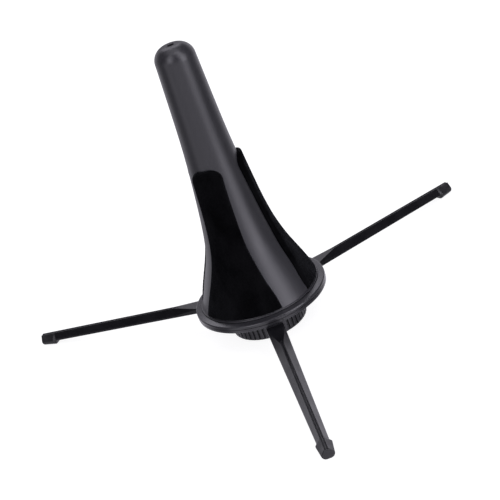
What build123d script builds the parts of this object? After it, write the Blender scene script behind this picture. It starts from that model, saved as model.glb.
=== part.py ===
from build123d import *
import os
from math import atan2, cos, hypot, radians, sin

# Peg stand for an oboe: a padded bell-shaped peg on three folding legs.
# Millimetres. The origin is on the peg's axis at floor level, +Z is up, and one leg points to -Y.

# Driving dimensions
stand_height = 160.0
flange_top = 19.9
flange_radius = 35.0
leg_reach = 140.6
leg_azimuths = {"front": -90, "right": 30, "left": 150}
pad_azimuths = {"front": -120, "right": 0, "rear": 120}

# Peg shell: outside radius at heights above the flange, as (radius, height)
shell_outside = [
    (30.9, 0.8),
    (28.9, 5.5),
    (25.7, 13.5),
    (21.1, 24.5),
    (17.45, 39.5),
    (14.85, 59.5),
    (12.5, 84.5),
    (11.3, 107.5),
    (10.4, 130.5),
]
shell_wall = 1.8
dome_corner_radius = 10.1
dome_round = 7.4
dome_wall = 2.2
vent_radius = 1.7
lip_radius = 31.6
lip_height = 0.8

# Pads: outside radius at heights above the flange, and the outline seen from the pad's front
pad_outside = [
    (31.6, 0.8),
    (30.1, 5.5),
    (27.2, 13.5),
    (23.2, 24.5),
    (19.35, 39.5),
    (16.85, 59.5),
    (14.7, 84.5),
]
pad_half_widths = [
    (21.4, 0.0),
    (18.9, 7.5),
    (15.8, 15.0),
    (12.5, 24.0),
    (10.0, 34.0),
    (8.8, 46.0),
    (8.2, 62.0),
    (8.2, 77.6),
]
pad_bottom = 1.1
pad_top = 77.4
pad_corner = 6.0
pad_gap = 0.1

# Flange, neck and the ring the legs bear against
flange_thickness = 2.1
flange_shoulder_radius = 31.8
flange_shoulder_drop = 0.6
rim_round = 0.6
rim_height = 4.2
rim_groove_height = 0.3
rim_groove_depth = 0.45
ring_inside = 31.0
seat_drop = 0.9
seat_width = 11.4
ring_notch_offset = 4.9
ring_notch_width = 0.5
neck_radius = 16.9
neck_bore = 14.9
neck_bottom = 5.0
neck_slot_width = 11.2
neck_slot_top = 17.2
thread_height = 0.55
thread_pitch = 3.0
thread_turns = 2.0

# Screws that hold the shell on the flange
boss_circle = 23.0
boss_radius = 3.2
boss_height = 9.0
flange_screw_radius = 1.25
flange_screw_length = 8.5
flange_screw_head = 2.4
flange_screw_head_height = 1.5

# Leg hub inside the neck
hub_radius = 14.6
hub_bottom = 5.0
hub_top = 17.1
cap_top = 19.3
pivot_circle = 11.5
hub_slot_width = 10.6
hub_slot_inside = 8.5
hub_slot_floor = 12.8
hub_sill_inside = 13.5
hub_sill_top = 13.7
pin_radius = 1.25
pin_length = 14.4
pin_clearance = 0.05

# Legs: pressed strips that taper from the hinge to the tip, with a moulded foot on each
leg_thickness = 2.7
leg_root_width = 10.0
leg_tip_width = 5.9
leg_bearing_radius = 34.4
leg_tip_height = 3.1
eye_radius = 2.6
facet_start = 25.0
facet_full = 41.0
ridge_rise = 1.3
facet_drop = 1.4
edge_round = 0.15
groove_half_width = 0.55
groove_shoulder = 0.3
groove_depth = 0.55
foot_length = 9.4
foot_facet_drop = 1.6
foot_flare = 0.95
foot_margin = 0.15
sole_half_width = 1.3
tang_length = 7.0
tang_thickness = 1.0
tang_inset = 1.5
tang_drop = 0.55

# Clamp knob and its captive screw
knob_radius = 20.0
knob_bottom = 1.0
knob_top = 13.1
knob_bore = 17.6
knob_floor = 1.6
knob_boss_radius = 7.0
knob_boss_top = 4.4
rib_count = 45
rib_gap_width = 0.95
rib_gap_depth = 0.75
washer_radius = 6.5
washer_gap = 0.05
knob_screw_head = 3.9
knob_screw_shoulder = 2.2
knob_screw_thread = 2.0
hub_screw_thread = 1.5
hub_screw_head = 2.7
recess_width = 0.7

# Dimensions that follow from those above
flange_bottom = flange_top - flange_thickness
ring_top = flange_bottom - rim_groove_height
ring_bottom = flange_top - rim_height
seat_bottom = ring_bottom - seat_drop
running_gap = 0.1
leg_bearing_height = seat_bottom - running_gap - leg_thickness / 2
leg_rise = leg_bearing_height - leg_tip_height
leg_slope = atan2(leg_rise, leg_reach - leg_bearing_radius)
pivot_height = leg_bearing_height + leg_rise / (leg_reach - leg_bearing_radius) * (
    leg_bearing_radius - pivot_circle
)
leg_length = hypot(leg_reach - pivot_circle, pivot_height - leg_tip_height)
foot_start = leg_length - foot_length


def at_flange(points, inset=0.0):
    """Points given above the flange, moved to their height in the stand, with the radius inset."""
    return [(radius - inset, height + flange_top) for radius, height in points]


def radial_plane(azimuth):
    """Upright plane facing outward at an azimuth: x is tangential and y is up."""
    outward = Vector(cos(radians(azimuth)), sin(radians(azimuth)), 0)
    across = Vector(-sin(radians(azimuth)), cos(radians(azimuth)), 0)
    return Plane(origin=(0, 0, 0), x_dir=across, z_dir=outward)


def leg_frame(azimuth):
    """Frame of a leg at rest: origin on its hinge pin, x along the leg, y across it, z up."""
    outward = Vector(cos(radians(azimuth)), sin(radians(azimuth)), 0)
    across = Vector(-sin(radians(azimuth)), cos(radians(azimuth)), 0)
    along = outward * cos(leg_slope) - Vector(0, 0, sin(leg_slope))
    hinge = outward * pivot_circle + Vector(0, 0, pivot_height)
    return Plane(origin=hinge, x_dir=along, z_dir=along.cross(across))


def across_leg(frame, distance):
    """Plane square to a leg at a distance from its hinge: x is across the leg and y is up."""
    return Plane(
        origin=frame.from_local_coords(Vector(distance, 0, 0)),
        x_dir=frame.y_dir,
        z_dir=frame.x_dir,
    )


def leg_half_width(distance):
    """Half the width of the leg at a distance from its hinge."""
    share = distance / leg_length
    return (leg_root_width * (1 - share) + leg_tip_width * share) / 2


# Peg shell -----------------------------------------------------------------

with BuildPart() as boss_blocks:
    with BuildSketch(Plane.XY.offset(flange_top)):
        with PolarLocations(boss_circle, 3):
            Circle(boss_radius)
        with PolarLocations(boss_circle + boss_radius, 3):
            Rectangle(2 * boss_radius, 1.6)
    extrude(amount=boss_height)
    with BuildSketch(Plane.XZ):
        with BuildLine():
            wall_middle = Spline(*at_flange(shell_outside, shell_wall / 2))
            Polyline(wall_middle @ 1, (0, (wall_middle @ 1).Y), (0, flange_top))
            Polyline((0, flange_top), (wall_middle.position_at(0).X, flange_top), wall_middle @ 0)
        make_face()
    revolve(mode=Mode.INTERSECT)

with BuildPart() as peg_shell:
    with BuildSketch(Plane.XZ):
        with BuildLine():
            outside = Spline(*at_flange(shell_outside))
            Line(outside @ 1, (dome_corner_radius, stand_height))
            Polyline((dome_corner_radius, stand_height), (0, stand_height), (0, flange_top))
            Line((0, flange_top), (lip_radius, flange_top))
            Line((lip_radius, flange_top), (lip_radius, flange_top + lip_height))
            Line((lip_radius, flange_top + lip_height), outside @ 0)
        make_face()
        dome_corner = vertices().group_by(Axis.Y)[-1].sort_by(Axis.X)[-1]
        fillet(dome_corner, radius=dome_round)
    revolve()
    with BuildSketch(Plane.XZ):
        with BuildLine():
            inside = Spline(*at_flange(shell_outside, shell_wall))
            Line(inside @ 1, (dome_corner_radius - shell_wall, stand_height - dome_wall))
            Polyline(
                (dome_corner_radius - shell_wall, stand_height - dome_wall),
                (0, stand_height - dome_wall),
                (0, flange_top),
                (inside.position_at(0).X, flange_top),
                inside @ 0,
            )
        make_face()
        ceiling_corner = vertices().group_by(Axis.Y)[-1].sort_by(Axis.X)[-1]
        fillet(ceiling_corner, radius=dome_round - shell_wall)
    revolve(mode=Mode.SUBTRACT)
    add(boss_blocks.part)
    lip_edge = edges().filter_by(GeomType.CIRCLE).group_by(SortBy.RADIUS)[-1]
    fillet(lip_edge.sort_by(Axis.Z)[-1], radius=0.3)
    with Locations(Location((0, 0, stand_height))):
        Hole(vent_radius, depth=2 * dome_wall)
    with Locations(Location((0, 0, flange_top), (180, 0, 0))):
        with PolarLocations(boss_circle, 3):
            Hole(flange_screw_radius, depth=boss_height - 1.0)
peg_shell.part.label = "peg_shell"


# Base flange with the threaded, slotted neck -----------------------------------

with BuildPart() as base_flange:
    with BuildSketch(Plane.XZ):
        with BuildLine():
            Polyline(
                (0, flange_bottom),
                (flange_radius, flange_bottom),
                (flange_radius, flange_top - flange_shoulder_drop),
                (flange_shoulder_radius, flange_top),
                (0, flange_top),
                close=True,
            )
        make_face()
        rim_corner = vertices().group_by(Axis.X)[-1].sort_by(Axis.Y)[-1]
        fillet(rim_corner, radius=rim_round)
    revolve()
    with BuildSketch(Plane.XY.offset(ring_top)):
        Circle(flange_radius - rim_groove_depth)
        Circle(ring_inside + 1.0, mode=Mode.SUBTRACT)
    extrude(amount=rim_groove_height)
    with BuildSketch(Plane.XY.offset(neck_bottom)):
        Circle(neck_radius)
    extrude(amount=flange_bottom - neck_bottom)
    with BuildLine():
        Helix(
            pitch=thread_pitch,
            height=thread_turns * thread_pitch,
            radius=neck_radius - 0.1,
            center=(0, 0, neck_bottom + 1.2),
        )
    with BuildSketch(Plane.XZ.offset(0)):
        with Locations((neck_radius - 0.1, neck_bottom + 1.2)):
            Trapezoid(1.6, thread_height + 0.1, 62, rotation=-90, align=(Align.CENTER, Align.MIN))
    sweep(is_frenet=True)
    with BuildSketch(Plane.XY.offset(neck_bottom)):
        Circle(neck_bore)
    extrude(amount=flange_top - neck_bottom, mode=Mode.SUBTRACT)
    with BuildSketch(Plane.XY.offset(neck_bottom - 1)):
        for azimuth in leg_azimuths.values():
            with PolarLocations(neck_radius - 1, 1, start_angle=azimuth):
                Rectangle(8, neck_slot_width)
    extrude(amount=neck_slot_top - neck_bottom + 1, mode=Mode.SUBTRACT)
    with Locations(Location((0, 0, flange_top))):
        with PolarLocations(boss_circle, 3):
            Hole(flange_screw_radius + 0.1, depth=2 * flange_thickness)
base_flange.part.label = "base_flange"


# Ring under the flange that the legs bear against -------------------------------

with BuildPart() as leg_seat_ring:
    with BuildSketch(Plane.XY.offset(ring_bottom)):
        Circle(flange_radius - 0.1)
        Circle(ring_inside, mode=Mode.SUBTRACT)
    extrude(amount=ring_top - ring_bottom)
    bottom_edges = edges().group_by(Axis.Z)[0]
    fillet(bottom_edges.sort_by(SortBy.RADIUS)[-1], radius=0.5)
    with BuildSketch(Plane.XY.offset(seat_bottom)):
        for azimuth in leg_azimuths.values():
            with PolarLocations((ring_inside + flange_radius) / 2, 1, start_angle=azimuth):
                Rectangle(2 * flange_radius - 2 * ring_inside, seat_width)
        Circle(flange_radius - 0.7, mode=Mode.INTERSECT)
        Circle(ring_inside + 0.2, mode=Mode.SUBTRACT)
    extrude(amount=seat_drop + 0.8)
    for azimuth in leg_azimuths.values():
        with BuildSketch(leg_frame(azimuth).offset(leg_thickness / 2 + running_gap)):
            with Locations((flange_radius - pivot_circle, 0)):
                Rectangle(flange_radius - ring_inside + 6, seat_width + 1)
        extrude(amount=-leg_thickness, mode=Mode.SUBTRACT)
    with BuildSketch(Plane.XY.offset(seat_bottom - 1)):
        for azimuth in leg_azimuths.values():
            with PolarLocations(flange_radius, 1, start_angle=azimuth):
                with Locations((0, ring_notch_offset)):
                    Rectangle(1.2, ring_notch_width)
    extrude(amount=ring_top - seat_bottom + 2, mode=Mode.SUBTRACT)
leg_seat_ring.part.label = "leg_seat_ring"


# Screws that hold the flange to the shell ---------------------------------------

with BuildPart() as flange_screws:
    with BuildSketch(Plane.XY.offset(flange_bottom - flange_screw_head_height)):
        with PolarLocations(boss_circle, 3):
            Circle(flange_screw_head)
    extrude(amount=flange_screw_head_height)
    fillet(edges().group_by(Axis.Z)[0], radius=0.7)
    with BuildSketch(Plane.XY.offset(flange_bottom)):
        with PolarLocations(boss_circle, 3):
            Circle(flange_screw_radius - 0.02)
    extrude(amount=flange_screw_length)
    with BuildSketch(Plane.XY.offset(flange_bottom - flange_screw_head_height)):
        with PolarLocations(boss_circle, 3):
            Rectangle(2.8, recess_width)
            Rectangle(recess_width, 2.8)
    extrude(amount=0.8, mode=Mode.SUBTRACT)
flange_screws.part.label = "flange_screws"


# Velvet pads --------------------------------------------------------------------


def make_pad(azimuth):
    """Curved pad on the shell: the band between two turned surfaces, cut to its outline."""
    with BuildPart() as pad:
        with BuildSketch(Plane.XZ):
            with BuildLine():
                back = Spline(*at_flange(shell_outside, -pad_gap))
                face = Spline(*at_flange(pad_outside))
                Line(back @ 0, face @ 0)
                Polyline(back @ 1, (face.position_at(1).X, (back @ 1).Y), face @ 1)
            make_face()
        revolve()
        with BuildSketch(radial_plane(azimuth)):
            with BuildLine():
                side = Spline(*at_flange(pad_half_widths))
                Line(side @ 0, (0, (side @ 0).Y))
                Line((0, (side @ 0).Y), (0, (side @ 1).Y))
                Line((0, (side @ 1).Y), side @ 1)
            make_face()
            mirror(about=Plane.YZ)
            with Locations((0, flange_top + (pad_bottom + pad_top) / 2)):
                Rectangle(2 * flange_radius, pad_top - pad_bottom, mode=Mode.INTERSECT)
            top_corners = vertices().group_by(Axis.Y)[-1]
            fillet(top_corners, radius=pad_corner)
        extrude(amount=flange_radius, mode=Mode.INTERSECT)
    return pad.part


# Leg hub, cap, screw and hinge pins ----------------------------------------------

with BuildPart() as leg_hub:
    with BuildSketch(Plane.XY.offset(hub_bottom)):
        Circle(hub_radius)
    extrude(amount=hub_top - hub_bottom)
    with BuildSketch(Plane.XY.offset(hub_bottom)):
        Circle(hub_radius - 2)
        Circle(washer_radius + 0.6, mode=Mode.SUBTRACT)
    extrude(amount=hub_slot_floor - hub_bottom - 2, mode=Mode.SUBTRACT)
    with BuildSketch(Plane.XY.offset(hub_sill_top)):
        for azimuth in leg_azimuths.values():
            with PolarLocations((hub_slot_inside + hub_radius + 2) / 2, 1, start_angle=azimuth):
                Rectangle(hub_radius + 2 - hub_slot_inside, hub_slot_width)
    extrude(amount=hub_top - hub_sill_top, mode=Mode.SUBTRACT)
    with BuildSketch(Plane.XY.offset(hub_slot_floor)):
        for azimuth in leg_azimuths.values():
            with PolarLocations((hub_slot_inside + hub_sill_inside) / 2, 1, start_angle=azimuth):
                Rectangle(hub_sill_inside - hub_slot_inside, hub_slot_width)
    extrude(amount=hub_top - hub_slot_floor, mode=Mode.SUBTRACT)
    for azimuth in leg_azimuths.values():
        pin_groove = radial_plane(azimuth).offset(pivot_circle)
        groove_start = Plane(
            origin=pin_groove.from_local_coords(Vector(-pin_length / 2 - 0.05, pivot_height, 0)),
            x_dir=pin_groove.z_dir,
            z_dir=pin_groove.x_dir,
        )
        with BuildSketch(groove_start):
            Circle(pin_radius + 0.01)
            with Locations((0, -(hub_top - pivot_height) / 2)):
                Rectangle(2 * pin_radius + 0.02, hub_top - pivot_height)
        extrude(amount=pin_length + 0.1, mode=Mode.SUBTRACT)
    with Locations(Location((0, 0, hub_bottom), (180, 0, 0))):
        Hole(knob_screw_thread + 0.02, depth=hub_slot_floor - hub_bottom)
    with Locations(Location((0, 0, hub_top))):
        Hole(hub_screw_thread + 0.02, depth=3.6)
leg_hub.part.label = "leg_hub"

with BuildPart() as hub_cap:
    with BuildSketch(Plane.XY.offset(hub_top)):
        Circle(hub_radius)
        for azimuth in leg_azimuths.values():
            with PolarLocations((hub_slot_inside + hub_radius + 2) / 2, 1, start_angle=azimuth):
                Rectangle(hub_radius + 2 - hub_slot_inside, hub_slot_width, mode=Mode.SUBTRACT)
    extrude(amount=cap_top - hub_top)
    chamfer(edges().group_by(Axis.Z)[-1], length=0.4)
    with Locations(Location((0, 0, cap_top))):
        CounterBoreHole(hub_screw_thread + 0.1, hub_screw_head + 0.2, 1.3)
hub_cap.part.label = "hub_cap"

with BuildPart() as hub_screw:
    with BuildSketch(Plane.XY.offset(cap_top - 1.3)):
        Circle(hub_screw_head)
    extrude(amount=1.2)
    fillet(edges().group_by(Axis.Z)[-1], radius=0.5)
    with BuildSketch(Plane.XY.offset(cap_top - 1.3)):
        Circle(hub_screw_thread)
    extrude(amount=-4.2)
    with BuildSketch(Plane.XY.offset(cap_top - 0.1)):
        Rectangle(3.0, recess_width)
        Rectangle(recess_width, 3.0)
    extrude(amount=-0.8, mode=Mode.SUBTRACT)
hub_screw.part.label = "hub_screw"


def make_hinge_pin(azimuth):
    """Plain steel pin across the leg's slot in the hub."""
    facing = radial_plane(azimuth).offset(pivot_circle)
    end = Plane(
        origin=facing.from_local_coords(Vector(-pin_length / 2, pivot_height, 0)),
        x_dir=facing.z_dir,
        z_dir=facing.x_dir,
    )
    with BuildPart() as pin:
        with BuildSketch(end):
            Circle(pin_radius)
        extrude(amount=pin_length)
        chamfer(edges().filter_by(GeomType.CIRCLE), length=0.25)
    return pin.part


# Legs and feet --------------------------------------------------------------------


def leg_section(plane, half_width, facets):
    """Closed leg outline: sloping top facets beside a middle groove, and a flat underside."""
    top = leg_thickness / 2
    edge_top = top - edge_round - facet_drop * facets
    ridge = top + ridge_rise * facets
    shoulder = groove_half_width + groove_shoulder
    groove_floor = ridge - 0.02 - groove_depth * facets
    half = [
        (0.0, -top),
        (half_width, -top),
        (half_width, edge_top),
        (shoulder, ridge),
        (groove_half_width, groove_floor),
        (0.0, groove_floor),
    ]
    with BuildSketch(plane) as section:
        with BuildLine():
            Polyline(*half)
            Line(half[-1], half[0])
        make_face()
        mirror(about=Plane.YZ)
    return section.sketch


def make_leg(azimuth):
    """Pressed steel strip: hinge eye, flat root, grooved and faceted outer part, and a tang."""
    frame = leg_frame(azimuth)
    eye_plane = Plane(
        origin=frame.from_local_coords(Vector(0, -leg_root_width / 2, 0)),
        x_dir=frame.x_dir,
        z_dir=frame.y_dir,
    )
    with BuildPart() as leg:
        stations = [(0.0, 0.0), (facet_start, 0.0), (facet_full, 1.0), (foot_start, 1.0)]
        for distance, facets in stations:
            add(leg_section(across_leg(frame, distance), leg_half_width(distance), facets))
        loft(ruled=True)
        with BuildSketch(across_leg(frame, foot_start)):
            with Locations((0, -tang_drop)):
                Rectangle(2 * (leg_half_width(foot_start) - tang_inset), tang_thickness)
        extrude(amount=tang_length)
        with BuildSketch(eye_plane):
            Circle(eye_radius)
        extrude(amount=leg_root_width)
        with BuildSketch(eye_plane):
            Circle(pin_radius + pin_clearance)
        extrude(amount=leg_root_width, mode=Mode.SUBTRACT)
        with BuildSketch(across_leg(frame, facet_start)):
            with Locations((0, -leg_thickness / 2)):
                Rectangle(2 * leg_half_width(facet_start) - 2.2, 2.0)
        with BuildSketch(across_leg(frame, foot_start - 3)):
            with Locations((0, -leg_thickness / 2)):
                Rectangle(2 * leg_half_width(foot_start) - 2.2, 2.0)
        loft(mode=Mode.SUBTRACT)
    return leg.part


def foot_section(plane, half_width, drop, depth):
    """Foot outline: the leg's faceted, grooved top, round cheeks and a narrow flat sole."""
    top = leg_thickness / 2
    edge_top = top - edge_round - drop
    ridge = top + ridge_rise
    shoulder = groove_half_width + groove_shoulder
    groove_floor = ridge - 0.02 - groove_depth
    with BuildSketch(plane) as section:
        with BuildLine():
            Polyline(
                (0, groove_floor),
                (groove_half_width, groove_floor),
                (shoulder, ridge),
                (half_width, edge_top),
            )
            Spline((half_width, edge_top), (sole_half_width, -depth), tangents=((0, -1), (-1, 0)))
            Polyline((sole_half_width, -depth), (0, -depth), (0, groove_floor))
        make_face()
        mirror(about=Plane.YZ)
    return section.sketch


def make_foot(azimuth):
    """Moulded foot on the leg's tang, flared behind its end and level along its underside."""
    frame = leg_frame(azimuth)
    leg_half = leg_half_width(foot_start)
    tip_depth = leg_tip_height / cos(leg_slope)
    start_depth = leg_thickness / 2 + 0.2
    heel_start = foot_start + 1.6
    heel_depth = tip_depth + (leg_length - heel_start) * sin(leg_slope) / cos(leg_slope)
    with BuildPart() as foot:
        add(foot_section(across_leg(frame, foot_start), leg_half + foot_margin, facet_drop, start_depth))
        add(foot_section(across_leg(frame, heel_start), leg_half + foot_flare, foot_facet_drop, heel_depth))
        add(foot_section(across_leg(frame, leg_length), leg_half + foot_margin, foot_facet_drop, tip_depth))
        loft(ruled=True)
        with BuildSketch(across_leg(frame, foot_start)):
            with Locations((0, -tang_drop)):
                Rectangle(2 * (leg_half - tang_inset) + 0.02, tang_thickness + 0.02)
        extrude(amount=tang_length + 0.05, mode=Mode.SUBTRACT)
    return foot.part


# Clamp knob, washer and captive screw ----------------------------------------------

with BuildPart() as clamp_knob:
    with BuildSketch(Plane.XY.offset(knob_bottom)):
        Circle(knob_radius)
    extrude(amount=knob_top - knob_bottom)
    fillet(edges().group_by(Axis.Z)[0], radius=1.0)
    with BuildSketch(Plane.XY.offset(knob_bottom + knob_floor)):
        Circle(knob_bore)
        Circle(knob_boss_radius, mode=Mode.SUBTRACT)
    extrude(amount=knob_top - knob_bottom, mode=Mode.SUBTRACT)
    with BuildSketch(Plane.XY.offset(knob_boss_top)):
        Circle(knob_boss_radius)
    extrude(amount=knob_top - knob_boss_top, mode=Mode.SUBTRACT)
    with BuildSketch(Plane.XY.offset(knob_bottom)):
        with PolarLocations(knob_radius, rib_count):
            Rectangle(2 * rib_gap_depth, rib_gap_width)
    extrude(amount=knob_top - knob_bottom, mode=Mode.SUBTRACT)
    with Locations(Location((0, 0, knob_bottom), (180, 0, 0))):
        CounterBoreHole(knob_screw_shoulder + 0.06, knob_screw_head + 0.3, 2.1)
clamp_knob.part.label = "clamp_knob"

with BuildPart() as thrust_washer:
    with BuildSketch(Plane.XY.offset(knob_boss_top + washer_gap)):
        Circle(washer_radius)
        Circle(knob_screw_shoulder + 0.1, mode=Mode.SUBTRACT)
    extrude(amount=hub_bottom - knob_boss_top - 2 * washer_gap)
thrust_washer.part.label = "thrust_washer"

with BuildPart() as knob_screw:
    with BuildSketch(Plane.XY.offset(knob_bottom + 0.6)):
        Circle(knob_screw_head)
    extrude(amount=1.4)
    fillet(edges().group_by(Axis.Z)[0], radius=0.5)
    with BuildSketch(Plane.XY.offset(knob_bottom + 2.0)):
        Circle(knob_screw_shoulder)
    extrude(amount=hub_bottom - knob_bottom - 2.02)
    with BuildSketch(Plane.XY.offset(hub_bottom - 0.1)):
        Circle(knob_screw_thread)
    extrude(amount=7.5)
    with BuildSketch(Plane.XY.offset(knob_bottom + 0.6)):
        Rectangle(4.4, recess_width)
        Rectangle(recess_width, 4.4)
    extrude(amount=0.9, mode=Mode.SUBTRACT)
knob_screw.part.label = "knob_screw"


# Write one STEP file per piece ------------------------------------------------------

pieces = [
    peg_shell.part,
    base_flange.part,
    leg_seat_ring.part,
    flange_screws.part,
    leg_hub.part,
    hub_cap.part,
    hub_screw.part,
    clamp_knob.part,
    thrust_washer.part,
    knob_screw.part,
]
for side, azimuth in pad_azimuths.items():
    pad = make_pad(azimuth)
    pad.label = "velvet_pad_" + side
    pieces.append(pad)
for side, azimuth in leg_azimuths.items():
    leg = make_leg(azimuth)
    leg.label = "leg_" + side
    foot = make_foot(azimuth)
    foot.label = "foot_" + side
    pin = make_hinge_pin(azimuth)
    pin.label = "hinge_pin_" + side
    pieces.extend([leg, foot, pin])

os.makedirs("parts", exist_ok=True)
for piece in pieces:
    export_step(piece, "parts/" + piece.label + ".step")
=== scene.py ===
import math

import bmesh
import bpy
import numpy as np
from mathutils import Matrix, Vector, noise


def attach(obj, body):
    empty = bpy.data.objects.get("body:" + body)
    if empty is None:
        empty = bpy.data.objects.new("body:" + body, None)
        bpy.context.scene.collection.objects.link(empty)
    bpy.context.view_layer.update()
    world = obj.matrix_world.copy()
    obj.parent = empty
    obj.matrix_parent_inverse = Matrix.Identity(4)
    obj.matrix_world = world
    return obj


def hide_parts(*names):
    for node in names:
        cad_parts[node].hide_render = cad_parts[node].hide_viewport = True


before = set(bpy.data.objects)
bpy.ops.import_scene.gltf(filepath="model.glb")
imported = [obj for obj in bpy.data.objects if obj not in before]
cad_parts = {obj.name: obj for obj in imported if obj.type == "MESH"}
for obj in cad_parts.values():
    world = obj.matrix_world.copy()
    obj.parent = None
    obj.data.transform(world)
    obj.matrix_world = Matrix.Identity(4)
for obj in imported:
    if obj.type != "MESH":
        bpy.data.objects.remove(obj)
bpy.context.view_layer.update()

# Dimensions in millimetres. Heights are from the floor; the shell's and pads' are above the flange.
MM = 0.001
FLANGE_TOP = 19.9
STAND_HEIGHT = 160.0
SHELL_OUTSIDE = [
    (30.9, 0.8), (28.9, 5.5), (25.7, 13.5), (21.1, 24.5), (17.45, 39.5),
    (14.85, 59.5), (12.5, 84.5), (11.3, 107.5), (10.4, 130.5),
]
SHELL_WALL = 1.8
DOME_CORNER_RADIUS = 10.1
DOME_ROUND = 7.4
DOME_WALL = 2.2
VENT_RADIUS = 1.7
LIP_RADIUS = 31.6
LIP_HEIGHT = 0.8
PAD_OUTSIDE = [
    (31.6, 0.8), (30.1, 5.5), (27.2, 13.5), (23.2, 24.5), (19.35, 39.5), (16.85, 59.5), (14.7, 84.5),
]
PAD_HALF_WIDTHS = [
    (21.4, 0.0), (18.9, 7.5), (15.8, 15.0), (12.5, 24.0),
    (10.0, 34.0), (8.8, 46.0), (8.2, 62.0), (8.2, 77.6),
]
PAD_BOTTOM = 1.1
PAD_TOP = 77.4
PAD_CORNER = 6.0
PAD_GAP = 0.1
PAD_ROLL = 1.1
PAD_UNEVENNESS = 0.10
PAD_FUZZ = 0.022
PAD_AZIMUTHS = {"front": -120, "right": 0, "rear": 120}
KNOB_RADIUS = 20.0
KNOB_BOTTOM = 1.0
KNOB_TOP = 13.1
KNOB_BORE = 17.6
KNOB_FLOOR = 1.6
KNOB_BOSS_RADIUS = 7.0
KNOB_BOSS_TOP = 4.4
KNOB_SCREW_BORE = 2.26
KNOB_RECESS_RADIUS = 4.2
KNOB_RECESS_DEPTH = 2.1
KNOB_DISH_DEPTH = 0.25
KNOB_DISH_INNER, KNOB_DISH_OUTER = (4.9, 5.2), (15.5, 17.6)
KNOB_RIM_RADIUS = 18.9
RIB_COUNT = 45
RIB_GAP_WIDTH = 0.95
RIB_GAP_DEPTH = 0.75
PIVOT_CIRCLE = 11.5
PIVOT_HEIGHT = 15.5602
LEG_REACH = 140.6
LEG_TIP_HEIGHT = 3.1
HALF_THICK = 1.35
LEG_ROOT_WIDTH = 10.0
LEG_TIP_WIDTH = 5.9
LEG_EDGE_ROUND = 0.28
LEG_WALL = 1.1
LEG_HOLLOW_END, LEG_HOLLOW_RUN = 3.0, 1.5
EYE_RADIUS = 2.6
PIN_BORE_RADIUS = 1.3
FACET_START, FACET_FULL, FACET_DROP = 25.0, 41.0, 1.55
RIDGE_RISE = 1.3
RIDGE_WIDTH = 0.30
GROOVE_START, GROOVE_DEPTH, GROOVE_CROWN = 38.5, 0.45, 0.34
GROOVE_HALF_WIDTH, GROOVE_WIDENING, GROOVE_EDGE = 0.50, 0.22, 0.14
FOOT_LENGTH = 9.4
FOOT_HEEL = 1.6
FOOT_FLARE = 0.95
FOOT_MARGIN = 0.15
FOOT_FACET_DROP = 1.75
FOOT_EDGE_ROUND = 0.22
FOOT_END_ROUND = 0.4
FOOT_END_HALF_WIDTH = 2.6
SOLE_HALF_WIDTH = 0.9
LEG_AZIMUTHS = {"front": -90, "right": 30, "left": 150}


# Shapes ------------------------------------------------------------------------------------


def curve_through(points, step):
    """Points about one step apart on the smooth curve through the given points."""
    p = np.array(points, float)
    at = np.concatenate([[0.0], np.cumsum(np.linalg.norm(np.diff(p, axis=0), axis=1))])
    h = np.diff(at)
    n = len(p)
    system, right = np.eye(n), np.zeros_like(p)
    for i in range(1, n - 1):
        system[i, i - 1 : i + 2] = h[i - 1], 2 * (h[i - 1] + h[i]), h[i]
        right[i] = 6 * ((p[i + 1] - p[i]) / h[i] - (p[i] - p[i - 1]) / h[i - 1])
    bend = np.linalg.solve(system, right)
    t = np.linspace(0, at[-1], max(2, int(at[-1] / step) + 1))
    i = np.clip(np.searchsorted(at, t, side="right") - 1, 0, n - 2)
    a, b = (at[i + 1] - t)[:, None], (t - at[i])[:, None]
    w = h[i][:, None]
    return (
        bend[i] * a**3 / (6 * w)
        + bend[i + 1] * b**3 / (6 * w)
        + (p[i] / w - bend[i] * w / 6) * a
        + (p[i + 1] / w - bend[i + 1] * w / 6) * b
    )


def value_at(curve, height):
    """First coordinate of a curve at the given second coordinate."""
    order = np.argsort(curve[:, 1])
    return np.interp(height, curve[order, 1], curve[order, 0])


def rounded(corners, steps=8):
    """Closed outline through (x, y, radius) corners, each rounded with that radius."""
    out = []
    count = len(corners)
    for i, (x, y, radius) in enumerate(corners):
        here = np.array([x, y])
        if radius <= 0:
            out.append(here)
            continue
        back = np.array(corners[i - 1][:2]) - here
        ahead = np.array(corners[(i + 1) % count][:2]) - here
        back, ahead = back / np.linalg.norm(back), ahead / np.linalg.norm(ahead)
        half = math.acos(np.clip(back @ ahead, -1, 1)) / 2
        middle = (back + ahead) / np.linalg.norm(back + ahead)
        centre = here + middle * radius / math.sin(half)
        start = here + back * radius / math.tan(half) - centre
        end = here + ahead * radius / math.tan(half) - centre
        turn = math.atan2(start[0] * end[1] - start[1] * end[0], start @ end)
        for k in range(steps + 1):
            c, s = math.cos(turn * k / steps), math.sin(turn * k / steps)
            out.append(centre + [start[0] * c - start[1] * s, start[0] * s + start[1] * c])
    return np.array(out)


def ring_grid(rings):
    """Faces that join equally long closed rings in order, the last ring back to the first."""
    count, size = len(rings), len(rings[0])
    faces = []
    for i in range(count):
        j = (i + 1) % count
        for k in range(size):
            m = (k + 1) % size
            faces.append((i * size + k, i * size + m, j * size + m, j * size + k))
    return faces


def turned(outline, segments):
    """Vertices and faces of a closed (radius, height) outline turned about the vertical axis."""
    angles = np.linspace(0, 2 * math.pi, segments, endpoint=False)
    rings = [
        np.stack([r * np.cos(angles), r * np.sin(angles), np.full(segments, z)], axis=1) for r, z in outline
    ]
    return np.concatenate(rings), ring_grid(rings)


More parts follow.
